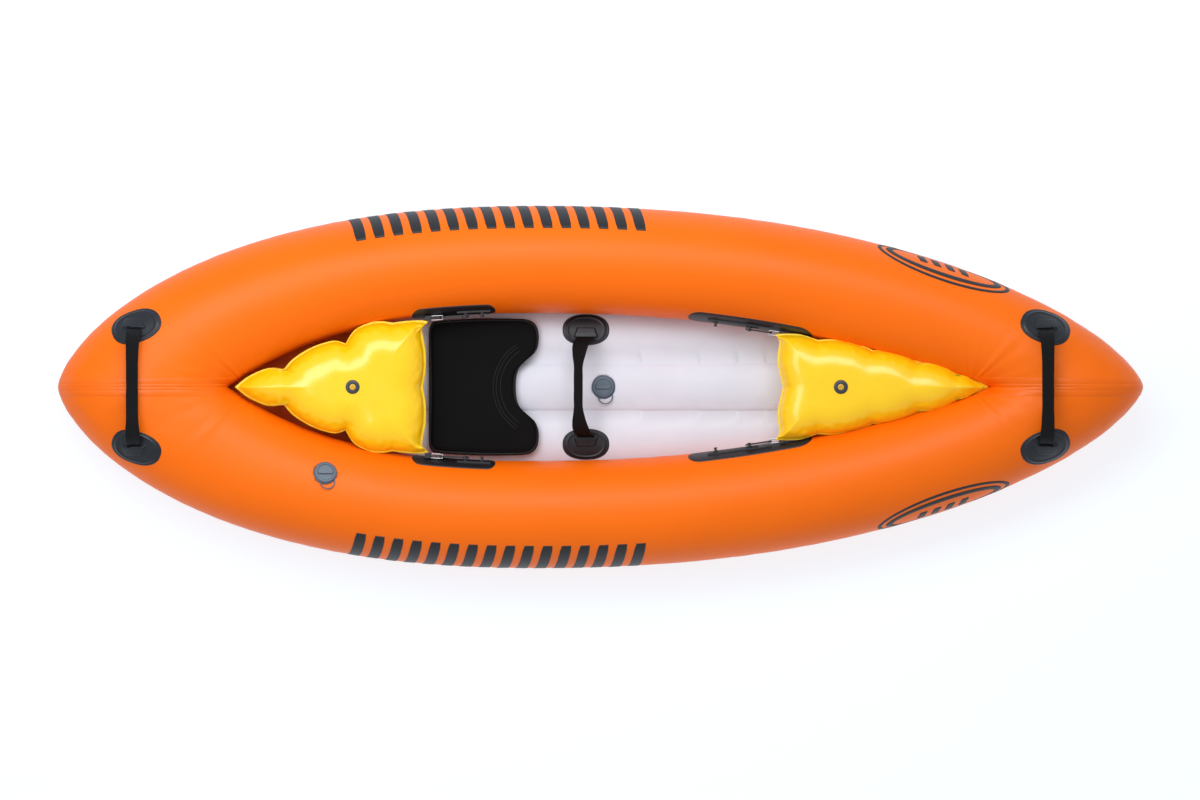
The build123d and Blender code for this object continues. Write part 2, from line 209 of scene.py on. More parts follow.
def curve_through(points, per):
    """Catmull-Rom curve through a list of points."""
    result = []
    more = [points[0], *points, points[-1]]
    for four in zip(more, more[1:], more[2:], more[3:]):
        for k in range(per):
            t = k / per
            result.append(tuple(
                0.5 * (2 * q + (r - p) * t + (2 * p - 5 * q + 4 * r - s) * t**2
                       + (3 * q - p - 3 * r + s) * t**3)
                for p, q, r, s in zip(*four)))
    return [*result, points[-1]]


def spread_about(middle_x, outline, count):
    """Evenly turned directions about a point of the centre line, and the outline's distance in each."""
    angles = np.array([math.atan2(y, x - middle_x) for x, y in outline])
    spans = np.array([math.hypot(x - middle_x, y) for x, y in outline])
    order = np.argsort(angles)
    turns = np.linspace(-math.pi, math.pi, count, endpoint=False)
    return turns, np.interp(turns, angles[order], spans[order], period=2 * math.pi)


# ------------------------------------------------------------------ materials
ROUGH_SPREAD = 0.08    # roughness strays this far either way
COAT_ROUGH = 0.12
CREASE_SCALE, CREASE_DEPTH = 7.0, 0.004


def material(name, color, rough, *, metal=0.0, coat=0.0, spread=0.06, grain=900.0, bump=0.1,
             depth=0.0002, weave=0.0, cloud=9.0, creases=0.0, shine=0.5):
    """Procedural surface: cloudy colour and roughness, fine grain, optional weave and creases."""
    mat = bpy.data.materials.new(name)
    mat.use_nodes = True
    tree = mat.node_tree
    tree.nodes.clear()
    new = tree.nodes.new
    link = tree.links.new
    out = new("ShaderNodeOutputMaterial")
    shader = new("ShaderNodeBsdfPrincipled")
    link(shader.outputs[0], out.inputs[0])
    place = new("ShaderNodeTexCoord")
    cloudy = new("ShaderNodeTexNoise")
    cloudy.inputs["Scale"].default_value = cloud
    cloudy.inputs["Detail"].default_value = 4.0
    link(place.outputs["Object"], cloudy.inputs["Vector"])
    shades = new("ShaderNodeValToRGB")
    shades.color_ramp.elements[0].position = 0.3
    shades.color_ramp.elements[1].position = 0.7
    shades.color_ramp.elements[0].color = (*[c * (1 - spread) for c in color], 1)
    shades.color_ramp.elements[1].color = (*[min(c * (1 + spread), 1) for c in color], 1)
    link(cloudy.outputs[0], shades.inputs[0])
    link(shades.outputs[0], shader.inputs["Base Color"])
    gloss = new("ShaderNodeMapRange")
    gloss.inputs["To Min"].default_value = max(rough - ROUGH_SPREAD, 0.02)
    gloss.inputs["To Max"].default_value = min(rough + ROUGH_SPREAD, 1.0)
    link(cloudy.outputs[0], gloss.inputs["Value"])
    link(gloss.outputs[0], shader.inputs["Roughness"])
    shader.inputs["Metallic"].default_value = metal
    shader.inputs["Coat Weight"].default_value = coat
    shader.inputs["Coat Roughness"].default_value = COAT_ROUGH
    shader.inputs["Specular IOR Level"].default_value = shine
    fine = new("ShaderNodeTexNoise")
    fine.inputs["Scale"].default_value = grain
    fine.inputs["Detail"].default_value = 3.0
    link(place.outputs["Object"], fine.inputs["Vector"])
    height = fine.outputs[0]
    if weave:
        threads = []
        for direction in ("X", "Y"):
            wave = new("ShaderNodeTexWave")
            wave.wave_type = "BANDS"
            wave.bands_direction = direction
            wave.inputs["Scale"].default_value = weave
            wave.inputs["Distortion"].default_value = 0.4
            link(place.outputs["Object"], wave.inputs["Vector"])
            threads.append(wave.outputs["Fac"])
        product = new("ShaderNodeMath")
        product.operation = "MULTIPLY"
        link(threads[0], product.inputs[0])
        link(threads[1], product.inputs[1])
        total = new("ShaderNodeMath")
        total.operation = "ADD"
        link(product.outputs[0], total.inputs[0])
        link(height, total.inputs[1])
        height = total.outputs[0]
    relief = new("ShaderNodeBump")
    relief.inputs["Strength"].default_value = bump
    relief.inputs["Distance"].default_value = depth
    link(height, relief.inputs["Height"])
    if creases:
        folds = new("ShaderNodeTexNoise")
        folds.noise_type = "RIDGED_MULTIFRACTAL"
        folds.inputs["Scale"].default_value = CREASE_SCALE
        folds.inputs["Detail"].default_value = 2.0
        link(place.outputs["Object"], folds.inputs["Vector"])
        wrinkled = new("ShaderNodeBump")
        wrinkled.inputs["Strength"].default_value = creases
        wrinkled.inputs["Distance"].default_value = CREASE_DEPTH
        link(folds.outputs[0], wrinkled.inputs["Height"])
        link(wrinkled.outputs[0], relief.inputs["Normal"])
    link(relief.outputs[0], shader.inputs["Normal"])
    return mat


# name: colour, roughness, everything else that is not the default
LOOKS = {
    "hull_fabric": ((0.94, 0.158, 0.0003), 0.44, dict(spread=0.03, bump=0.15, cloud=3.5, shine=0.24)),
    "seam_tape": ((0.90, 0.148, 0.0003), 0.40, dict(spread=0.04, bump=0.2, shine=0.3)),
    "floor_fabric": ((0.69, 0.71, 0.80), 0.45, dict(spread=0.03, bump=0.15, creases=0.10, shine=0.35)),
    "seat_foam": (
        (0.0030, 0.0030, 0.0034), 0.8, dict(spread=0.3, grain=1200, bump=0.5, weave=260, shine=0.12)),
    "binding": (
        (0.006, 0.006, 0.007), 0.6, dict(spread=0.3, grain=1500, bump=0.6, weave=420, shine=0.3)),
    "cushion_film": ((1.0, 0.62, 0.004), 0.26, dict(spread=0.03, grain=700, coat=0.35, creases=0.06)),
    "dark_valve": ((0.030, 0.036, 0.050), 0.45, dict(spread=0.15, bump=0.2)),
    "plug": ((0.62, 0.36, 0.02), 0.4, dict(spread=0.1, bump=0.2)),
    "webbing": (
        (0.0045, 0.0045, 0.0055), 0.72,
        dict(spread=0.35, grain=1400, bump=0.8, weave=330, depth=0.0006, shine=0.2)),
    "patch_rubber": (
        (0.008, 0.011, 0.017), 0.42, dict(spread=0.15, grain=1200, bump=0.35, depth=0.0003)),
    "steel": ((0.62, 0.62, 0.64), 0.28, dict(metal=1.0, spread=0.05)),
    "valve_plastic": ((0.095, 0.130, 0.175), 0.42, dict(bump=0.15)),
    "black_plastic": ((0.012, 0.012, 0.015), 0.42, dict(spread=0.15, bump=0.3)),
    "print_ink": ((0.010, 0.010, 0.012), 0.5, dict(spread=0.1, bump=0.2)),
}
MATERIALS = {name: material(name, color, rough, **rest) for name, (color, rough, rest) in LOOKS.items()}


def dress(obj, kind, body="root"):
    """Material and body of a finished piece."""
    obj.data.materials.clear()
    obj.data.materials.append(MATERIALS[kind])
    if body:
        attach(obj, body)
    return obj


for entry in frame["record"]["subparts"]:
    node = NODES[entry["node"]]
    node.data.materials.clear()
    node.data.materials.append(MATERIALS[entry["material_slot"]])


# ------------------------------------------------------------------ hull tubes
TIP_CELLS = int(170 * FINE)
ROUND_CELLS = int(132 * FINE)
TIP_CROWDING = 1.7                                  # rings stand closer together near the tips
CLIP_STRETCHES = ((-0.54, -0.21), (0.17, 0.55))     # x in metres, kept smooth inside for the clips
OUTER_WELD, INNER_WELD = -12, 168                   # degrees round the tube
BOW_APEX, STERN_APEX = 0.933, -0.893                # tips of the cockpit
hull_steps = [1 - (1 - i / TIP_CELLS) ** TIP_CROWDING for i in range(TIP_CELLS + 1)]
hull_us = [-s for s in reversed(hull_steps[1:])] + hull_steps
hull_phis = [2 * math.pi * j / ROUND_CELLS for j in range(ROUND_CELLS)]
cad_tube = tree_of(NODES["port_hull_tube"])

hull_points = np.zeros((len(hull_us), ROUND_CELLS, 3))
hull_outs = np.zeros_like(hull_points)
gap = np.zeros(hull_points.shape[:2])
for i, u in enumerate(hull_us):
    for j, phi in enumerate(hull_phis):
        point, out = skin(u, phi)
        near = cad_tube.find_nearest(point)[0]
        hull_points[i, j] = point
        hull_outs[i, j] = out
        gap[i, j] = (near - point).dot(out)
gap = smooth_rows(gap, 6)


def hull_relief(x, y, z, u, phi):
    """Small height of folds and welds on the tubes, in metres."""
    turn = math.degrees(phi)
    turn = turn - 360 if turn > 200 else turn
    low = 0.0012 * wobble(x, y, z, 0.45)
    weld = abs(turn - OUTER_WELD)
    pucker = 0.0016 * bell(weld, 13) * wobble(x, 0, 3, 0.028) - 0.0012 * bell(weld, 3.0)
    near_clips = any(start < x < stop for start, stop in CLIP_STRETCHES)
    if not near_clips:
        pucker += 0.0014 * bell(turn - INNER_WELD, 22) * wobble(x, 4, 0, 0.035)
    tip = soft_step(0.80, 0.97, abs(u))
    ridge = 1 - abs(wobble(x, y * 0.6, z, 0.075))
    tip_fold = 0.0020 * tip * (ridge - 0.75) + 0.0011 * tip * wobble(x, y, z, 0.03)
    beyond = abs(x) - abs(BOW_APEX if u > 0 else STERN_APEX)
    ray = math.atan2(abs(y), beyond + 0.05)
    fan = bell(max(math.hypot(beyond - 0.04, y) - 0.03, 0), 0.09) if z > 0.12 else 0.0
    rays = 0.0034 * fan * wobble(ray * 0.35, 0, 8, 0.055)
    flat = 0.0 if near_clips and 110 < turn < 220 else 1.0
    return (low + pucker + tip_fold + rays) * flat


for i, u in enumerate(hull_us):
    for j, phi in enumerate(hull_phis):
        inside = 0 < i < len(hull_us) - 1
        relief = hull_relief(*hull_points[i, j], u, phi) if inside else 0.0
        hull_points[i, j] += hull_outs[i, j] * (gap[i, j] + relief)
hull_points[0, :, 1] = 0
hull_points[-1, :, 1] = 0


def hull_object(name, side):
    points = [(p[0], side * max(p[1], 0.0), p[2]) for ring in hull_points for p in ring]
    return mesh_object(name, points, capped(len(hull_us), ROUND_CELLS))


port_hull = hull_object("port_hull_skin", 1)
starboard_hull = hull_object("starboard_hull_skin", -1)
HULL = tree_of(port_hull, starboard_hull)

# turned pocket that both large valves sit in: radius and height in millimetres
POCKET = ((0.01, -44), (23.5, -44), (23.5, -3.3), (28.6, -3.3), (28.6, 20), (0.01, 20))
hull_valve = JOINTS["hull_valve_cap_twist"]
floor_valve = JOINTS["floor_valve_cap_twist"]
bake_cut(starboard_hull, lathe("hull_pocket", hull_valve["pos_m"], hull_valve["axis"], POCKET))
for obj, node in ((port_hull, "port_hull_tube"), (starboard_hull, "starboard_hull_tube")):
    dress(obj, "hull_fabric")
    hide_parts(node)


# ------------------------------------------------------------------ seam tapes over both tips
def seam_tape(name, way, node):
    """Tape over the seam of a tip: two welded edges and a groove along the middle."""
    middle, _, half, rise = section(way * 1.0)
    half_row = ((22.5, -1.0), (21.6, 0.6), (20.5, 0.9), (14, 0.9), (8.2, 0.9), (7.4, 0.45), (6.6, 0.9),
                (1.6, 0.9))
    profile = [(-y, lift) for y, lift in half_row] + [(0, 0.2)] + list(reversed(half_row))
    steps = int(120 * FINE)
    points = []
    for i in range(steps + 1):
        phi = math.radians(176 - 240 * i / steps)
        c, s = math.cos(phi), math.sin(phi)
        centre = Vector((middle.x + way * half * c, 0, middle.z + rise * s)) * MM
        out = Vector((way * c / half, 0, s / rise)).normalized()
        row = []
        for y, lift in profile:
            side = Vector((0, y * MM, 0))
            hit = HULL.ray_cast(centre + out * 0.05 + side, -out)[0] or centre + side
            lift *= min(i, steps - i, 2) / 2
            row.append(hit + out * lift * MM)
        points += row + [p - out * 0.003 for p in reversed(row)]
    obj = mesh_object(name, points, capped(steps + 1, 2 * len(profile)))
    dress(obj, "seam_tape")
    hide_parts(node)


seam_tape("stern_tip_tape", -1, "stern_seam_tape")
seam_tape("bow_tip_tape", 1, "bow_seam_tape")


# ------------------------------------------------------------------ floor
CHAMBER_WELD = 0.059    # y of the welds between the three chambers
FLOOR_MIDDLE = 0.040    # height of the floor's middle
VALVE_CLEAR = 0.036     # half the stretch of x around the floor valve


def floor_object():
    """Drop-in floor of three long chambers, drawn in along the welds between them."""
    cad = tree_of(NODES["floor_mat"])
    rows = int(230 * FINE)
    ring = int(200 * FINE)
    low, high = [corner[0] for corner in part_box("floor_mat")]
    low, high = low + 0.0005, high - 0.0005
    valve_x = JOINTS["floor_valve_cap_twist"]["pos_m"][0]
    points = []
    for i in range(rows + 1):
        x = low + (high - low) * i / rows
        off_valve = x - valve_x
        near_valve = abs(off_valve) < VALVE_CLEAR
        look_x = valve_x + math.copysign(VALVE_CLEAR, off_valve) if near_valve else x
        probe = cad.ray_cast(Vector((look_x, 0.6, 0.045)), Vector((0, -1, 0)))[0]
        half = probe.y if probe else 0.02
        start = Vector((look_x, 0, FLOOR_MIDDLE))
        for k in range(ring):
            a = 2 * math.pi * k / ring
            c, s = math.cos(a), math.sin(a)
            reach = half * 0.97 * math.copysign(abs(c) ** 0.75, c)
            aim = Vector((look_x, reach, FLOOR_MIDDLE + 0.032 * s))
            hit = cad.ray_cast(start, (aim - start).normalized())[0] or aim
            hit.x = x
            if s > 0:
                seam = abs(abs(hit.y) - CHAMBER_WELD)
                fold = wobble(x, 0, 9 * math.copysign(1, hit.y), 0.024)
                hit.z += -0.0022 * bell(seam, 0.004) + 0.0013 * fold * bell(seam - 0.012, 0.012)
                hit.z += 0.0014 * bell(half - abs(hit.y), 0.03) * wobble(x, 5, 0, 0.03)
                hit.z += 0.0010 * wobble(x, hit.y, 0, 0.12)
            points.append(hit)
    return mesh_object("floor_skin", points, capped(rows + 1, ring))


floor_skin = floor_object()
FLOOR = tree_of(floor_skin)
bake_cut(floor_skin, lathe("floor_pocket", floor_valve["pos_m"], floor_valve["axis"], POCKET))
dress(floor_skin, "floor_fabric")
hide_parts("floor_mat")


# ------------------------------------------------------------------ valve springs
def coil_spring(valve):
    """Coil spring under a valve's stem, made at its rest length."""
    twist = JOINTS[f"{valve}_cap_twist"]
    origin, normal = Vector(twist["pos_m"]), Vector(twist["axis"])
    turn = normal.to_track_quat("Z", "Y").to_matrix()
    low, high, radius, wire, turns = -27.8, -15.2, 6.1, 0.7, 4.5
    steps, around = int(150 * FINE), 10
    points = []
    for i in range(steps + 1):
        share = i / steps
        a = 2 * math.pi * turns * share
        z = low + wire + (high - low - 2 * wire) * share
        for k in range(around):
            b = 2 * math.pi * k / around
            r = radius + wire * math.cos(b)
            local = Vector((r * math.cos(a), r * math.sin(a), z + wire * math.sin(b)))
            points.append(origin + turn @ local * MM)
    obj = mesh_object(f"{valve}_coil", points, capped(steps + 1, around))
    dress(obj, "steel")
    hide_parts(f"{valve}_spring")
    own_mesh(obj)


coil_spring("hull_valve")
coil_spring("floor_valve")


# ------------------------------------------------------------------ handle patches
SQUARENESS = 0.86       # below 1 the ovals grow fuller at their corners
PATCH_SINK = -1.6       # underside of a patch, below the skin


def patch_object(name, tree, centre, tilt, size, keeper, node):
    """Oval rubber patch that follows the skin: rim, raised ring and the pocket of the strap."""
    half_long, half_wide = size
    turn = Matrix.Rotation(math.radians(tilt), 2)
    rings = int(46 * FINE)
    count = int(120 * FINE)
    keeper_x, keeper_y, keeper_half, keeper_deep, keeper_high = keeper
    inward = -math.copysign(1, centre[1])

    def place(radius, angle, sink=None):
        c, s = math.cos(angle), math.sin(angle)
        spot = turn @ Vector((
            half_long * radius * math.copysign(abs(c) ** SQUARENESS, c),
            half_wide * radius * math.copysign(abs(s) ** SQUARENESS, s))) + Vector(centre)
        hit, normal = drop(tree, spot.x * MM, spot.y * MM)
        if sink is not None:
            return hit + normal * sink * MM
        lift = 2.3 * (1 - soft_step(0.955, 1.0, radius) * 0.75)
        lift += 1.7 * bell(radius - 0.80, 0.055) - 0.5 * bell(radius - 0.90, 0.03)
        across = abs(spot.x - keeper_x)
        along = (spot.y - keeper_y) * inward
        narrow = keeper_half * (1 + 0.16 * along / keeper_deep)
        block = 1 - soft_step(narrow - 2.5, narrow, across)
        block *= 1 - soft_step(keeper_deep - 2, keeper_deep, abs(along))
        slope = 0.72 + 0.28 * soft_step(-keeper_deep, keeper_deep, along)
        return hit + normal * max(lift, block * keeper_high * slope) * MM

    turns = [2 * math.pi * k / count for k in range(count)]
    points = []
    for r in range(rings + 1):
        points += [place(0.02 + 0.98 * r / rings, angle) for angle in turns]
    points += [place(1.0, angle, PATCH_SINK) for angle in turns]
    points += [place(0.02, angle, PATCH_SINK) for angle in turns]
    obj = mesh_object(name, points, capped(rings + 3, count))
    dress(obj, "patch_rubber")
    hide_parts(node)


# pivot x, where the strap leaves its keepers, patch centre, patch tilt, strap lean
TIP_HANDLES = {
    "stern": (-1118.0, 138.0, (-1112.0, 145.0), 20, -8),
    "bow": (1068.0, 136.0, (1066.0, 143.0), -20, 8),
}
SIDES = (("port", 1), ("starboard", -1))
for end_name, (handle_x, exit_y, (patch_x, patch_y), tilt, _) in TIP_HANDLES.items():
    for side_name, side in SIDES:
        patch_object(
            f"{end_name}_grip_patch_{side_name}", HULL, (patch_x, side * patch_y), side * tilt,
            (61, 38), (handle_x, side * (exit_y + 12), 25, 12, 9),
            f"{end_name}_handle_patch_{side_name}")
for side_name, side in SIDES:
    patch_object(
        f"centre_grip_patch_{side_name}", FLOOR, (-35, side * 137), 0, (56, 37),
        (-35, side * 130, 26, 12, 8.5), f"centre_handle_patch_{side_name}")


# ------------------------------------------------------------------ handle straps
def strap_object(name, handle, exit_y, rise, lean, width, waist, tree):
    """Webbing arch from one keeper to the other, creased at its edges and drawn in at the grip."""
    pivot_x, _, pivot_z = [v / MM for v in JOINTS[f"{handle}_swing"]["pos_m"]]
    steps = int(150 * FINE)
    across = 13
    path = []
    for i in range(steps + 1):
        t = -1 + 2 * i / steps
        y = math.copysign(1, t) * (exit_y + 8) * (1 - (1 - abs(t)) ** 1.35)
        part = min(abs(y) / (exit_y - 1), 1.0)
        base = drop(tree, pivot_x * MM, math.copysign(exit_y + 6, y) * MM)[0].z / MM + 5
        arch = (1 - part ** 4.2) ** (1 / 2.6)
        path.append((y, base + (pivot_z + rise - base) * arch))
    points = []
    for i, (y, z) in enumerate(path):
        before = path[max(i - 1, 0)]
        after = path[min(i + 1, len(path) - 1)]
        along = Vector((0, after[0] - before[0], after[1] - before[1])).normalized()
        up = Vector((0, -along.z, along.y))
        wide = waist + (width - waist) * soft_step(0.35, 0.95, abs(y) / exit_y)
        wide *= 1 + 0.05 * wobble(y * MM, pivot_x, 0, 0.03)
        hold = soft_step(pivot_z - 12, pivot_z + 22, z)
        swing = Matrix.Rotation(math.radians(lean) * hold, 3, "Y")
        cup = 1.6 * wobble(y * MM, 2, pivot_x, 0.05) + 1.2
        pivot = Vector((0, 0, pivot_z))
        for layer in (1, -1):
            for k in range(across):
                w = layer * (-1 + 2 * k / (across - 1))
                edge = 0.35 + 0.65 * math.sqrt(max(1 - w * w, 0))
                crinkle = 0.8 * wobble(y * MM, w * 0.004, 5, 0.018)
                lift = layer * 1.35 * edge + cup * w * w + crinkle * abs(w)
                local = Vector((w * wide / 2, y, z)) + up * lift
                points.append((Vector((pivot_x, 0, 0)) + pivot + swing @ (local - pivot)) * MM)
    obj = mesh_object(name, points, capped(len(path), 2 * across))
    dress(obj, "webbing", None)
    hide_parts(f"{handle}_strap")
    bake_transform(obj)


for end_name, (_, exit_y, _, _, lean) in TIP_HANDLES.items():
    strap_object(f"{end_name}_grip_webbing", f"{end_name}_handle", exit_y, 34, lean, 34.5, 29, HULL)
strap_object("centre_grip_webbing", "centre_handle", 118, 58, -18, 42, 22, FLOOR)


# ------------------------------------------------------------------ seat
def seat_objects():
    """Foam pad and the band sewn round its edge."""
    middle_x = -300
    top_z, under_z = 0.0993, 0.0778
    count = int(360 * FINE)
    rings = int(40 * FINE)
    half = curve_through([
        (-203, 0), (-201, 26), (-193, 48), (-175, 66), (-156, 84), (-148, 108), (-150, 138),
        (-160, 154), (-178, 162), (-215, 164), (-300, 164), (-390, 158), (-407, 148), (-411, 130),
        (-411, 60), (-411, 0)], 10)
    turns, spans = spread_about(middle_x, half + [(x, -y) for x, y in reversed(half[1:-1])], count)
    reach = [span * MM for span in spans]

    def ring(inset, share, height_of):
        row = []
        for a, r in zip(turns, reach):
            x = middle_x * MM + math.cos(a) * (r - inset) * share
            y = math.sin(a) * (r - inset) * share
            row.append(Vector((x, y, height_of(x, y))))
        return row

    def top(x, y, roll):
        dish = 0.0016 * bell(math.hypot(x + 0.31, y * 0.7), 0.09)
        return top_z - dish + 0.0007 * wobble(x, y, 0, 0.07) - roll

    points = []
    for i in range(rings + 1):
        share = 0.01 + 0.99 * i / rings
        roll = 0.004 * soft_step(0.9, 1.0, share) ** 2
        points += ring(0.006, share, lambda x, y, roll=roll: top(x, y, roll))
    for inset, share, z in ((0.0045, 1, 0.0925), (0.0045, 1, 0.0835), (0.008, 1, under_z),
                            (0.008, 0.01, under_z)):
        points += ring(inset, share, lambda x, y, z=z: z)
    pad = mesh_object("seat_cushion", points, capped(rings + 5, count))
    points = []
    profile = ((6.8, 97.0), (5.0, 98.2), (2.4, 97.4), (0.7, 94.6), (0.0, 90.0), (0.7, 85.0),
               (2.6, 81.6), (5.6, 80.4), (7.4, 82.0), (7.4, 95.0))
    for inset, z in profile:
        points += ring(inset * MM, 1, lambda x, y, z=z: z * MM)
    faces = tube_faces(len(profile), count)
    last = (len(profile) - 1) * count
    for k in range(count):
        n = (k + 1) % count
        faces.append((last + k, last + n, n, k))
    band = mesh_object("seat_edge_band", points, faces)
    dress(pad, "seat_foam")
    dress(band, "binding")
    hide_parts("seat_pad")
    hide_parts("seat_binding")
    return pad


SEAT = tree_of(seat_objects())


def rib(name, path, width, height, tree, kind):
    """Low rounded line that follows a surface along a path of x, y points in metres."""
    shape = ((-1, -0.6), (-0.75, 0.45), (-0.3, 0.9), (0.3, 0.9), (0.75, 0.45), (1, -0.6), (0, -1.2))
    points = []
    for i, (x, y) in enumerate(path):
        ax, ay = path[max(i - 1, 0)]
        bx, by = path[min(i + 1, len(path) - 1)]
        along = Vector((bx - ax, by - ay, 0)).normalized()
        for w, lift in shape:
            spot_x = x - along.y * w * width / 2
            spot_y = y + along.x * w * width / 2
            points.append(drop(tree, spot_x, spot_y)[0] + Vector((0, 0, lift * height)))
    return dress(mesh_object(name, points, capped(len(path), len(shape))), kind)


STITCH_MIDDLE = -0.137    # x of the arcs' centre
for index, radius in enumerate((0.103, 0.113, 0.120)):
    arc = [(STITCH_MIDDLE - radius * math.cos(a), radius * math.sin(a))
           for a in np.linspace(-1.0, 1.0, 60)]
    rib(f"seat_stitch_arc_{index + 1}", arc, 0.0028, 0.0009, SEAT, "binding")


# ------------------------------------------------------------------ air cushions
def scalloped(*runs):
    """Closed outline from the runs between the cusps of its port half; each run is a smooth curve."""
    half = []
    for run, after in zip(runs, [*runs[1:], None]):
        points = [*run, after[0]] if after else list(run)
        half += curve_through(points, 9)[:-1 if after else None]
    return half + [(x, -y) for x, y in reversed(half[1:-1])]


def bag_object(name, middle_x, outline, swell, node):
    """Two films welded along a scalloped rim; their height grows with the way in from the rim."""
    count = int(520 * FINE)
    turns, radii = spread_about(middle_x, outline, count)
    weld = 0.972                                     # the rim begins at this share of the outline
    rim_z, top_z, bottom_z = 0.1765, 0.2260, 0.0845
    hole = 9.9                                       # radius left for the small valve, millimetres
    edge = np.stack([middle_x + np.cos(turns) * radii * weld, np.sin(turns) * radii * weld], 1)
    points = []

    def put_ring(reach, height_of):
        flat = np.stack([middle_x + np.cos(turns) * reach, np.sin(turns) * reach], 1)
        inward = np.sqrt(((flat[:, None, :] - edge[None, :, :]) ** 2).sum(2)).min(1)
        for (x, y), deep in zip(flat * MM, inward):
            points.append(Vector((x, y, height_of(x, y, deep))))

    def upper(x, y, deep):
        dome = (1 - max(1 - deep / swell, 0) ** 2.3) ** 0.6
        z = rim_z + 0.001 + (top_z - rim_z - 0.001) * dome
        near = math.hypot(x - middle_x * MM, y)
        calm = soft_step(0.018, 0.045, near) * min(deep / 6, 1)
        gather = 0.0026 * bell(deep - 10, 13) * wobble(x, y, 0, 0.015)
        z += calm * (gather + 0.0012 * wobble(x, y, 4, 0.06))
        return min(z + (top_z - z) * (1 - soft_step(0.018, 0.06, near)), top_z + 0.0005)

    for z in (top_z - 0.0129, top_z - 0.0005):
        put_ring(np.full(count, hole), lambda x, y, deep, z=z: z)
    top_rings = int(72 * FINE)
    inner = hole + 0.2
    for i in range(top_rings + 1):
        put_ring(inner + (radii * weld - inner) * (i / top_rings) ** 0.85, upper)
    rim_rings = ((0.982, 0.0012), (1.0, 0.0007), (1.0, -0.0007))
    for share, lift in rim_rings:
        put_ring(
            radii * share,
            lambda x, y, deep, lift=lift: rim_z + lift + 0.0016 * wobble(x, y, 0, 0.014))
    low_rings = int(36 * FINE)
    for i in range(low_rings + 1):
        part = 1 - i / low_rings
        slim = (0.60 + 0.33 * part ** 0.35) * (0.02 + 0.98 * part ** 0.55)
        z = rim_z - 0.001 - (rim_z - 0.001 - bottom_z) * (1 - part ** 3.2) ** 0.7
        put_ring(radii * slim, lambda x, y, deep, z=z: z)
    rings = 2 + (top_rings + 1) + len(rim_rings) + (low_rings + 1)
    obj = mesh_object(name, points, capped(rings, count))
    dress(obj, "cushion_film")
    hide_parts(node)


stern_outline = scalloped(
    [(-877, 0), (-845, 25), (-805, 43), (-780, 46)],
    [(-759, 43), (-735, 69), (-690, 96), (-640, 111)],
    [(-611, 104), (-590, 136), (-555, 154), (-525, 158)],
    [(-497, 154), (-470, 158), (-430, 160)],
    [(-410, 156), (-427, 141), (-419, 85), (-419, 40), (-426, 0)])
bow_outline = scalloped(
    [(932, 0), (905, 16), (885, 28)],
    [(865, 31), (840, 46), (800, 59)],
    [(766, 60), (735, 75), (690, 87)],
    [(654, 88), (615, 104), (560, 114)],
    [(520, 113), (480, 126), (440, 128)],
    [(418, 126), (428, 108), (424, 60), (437, 0)])
bag_object("stern_air_cushion", -594, stern_outline, 84, "stern_bag")
bag_object("bow_air_cushion", 576, bow_outline, 70, "bow_bag")


# ------------------------------------------------------------------ plain printed marks
def hull_spot(x, turn, side, lift):
    """Point on a tube at x and turned so many degrees up from its outer side, in metres."""
    low, high = -1.0, 1.0
    phi = math.radians(turn)
    for _ in range(26):
        middle = (low + high) / 2
        if skin(middle, phi)[0].x < x:
            low = middle
        else:
            high = middle
    point, out = skin((low + high) / 2, phi)
    point.y *= side
    out.y *= side
    hit, normal, _, _ = HULL.find_nearest(point)
    return hit + (normal if normal.dot(out) > 0 else -normal) * lift


INK_LAYERS = (0.0007, -0.0012)     # top and underside of the marks, from the skin
STRIP_LAYERS = (0.0011, -0.0014)


def bar_mark(points, faces, corners, side, columns, rows):
    """Adds a thin four-sided mark with rounded ends, given as corners of x and turn."""
    (ax, at), (bx, bt), (cx, ct), (dx, dt) = corners
    start = len(points)
    for layer in INK_LAYERS:
        for i in range(rows + 1):
            v = i / rows
            pinch = 1 - 0.16 * (bell(v, 0.07) + bell(1 - v, 0.07))
            for j in range(columns + 1):
                w = 0.5 + (j / columns - 0.5) * pinch
                x = (ax * (1 - w) + bx * w) * (1 - v) + (dx * (1 - w) + cx * w) * v
                turn = (at * (1 - w) + bt * w) * (1 - v) + (dt * (1 - w) + ct * w) * v
                points.append(hull_spot(x, turn, side, layer))
    grid = (columns + 1) * (rows + 1)
    for i in range(rows):
        for j in range(columns):
            a = start + i * (columns + 1) + j
            b = a + columns + 1
            faces.append((a, a + 1, b + 1, b))
            faces.append((a + grid, b + grid, b + 1 + grid, a + 1 + grid))
    edge = [start + j for j in range(columns + 1)]
    edge += [start + i * (columns + 1) + columns for i in range(1, rows + 1)]
    edge += [start + rows * (columns + 1) + j for j in reversed(range(columns))]
    edge += [start + i * (columns + 1) for i in reversed(range(1, rows))]
    for a, b in zip(edge, edge[1:] + edge[:1]):
        faces.append((b, a, a + grid, b + grid))


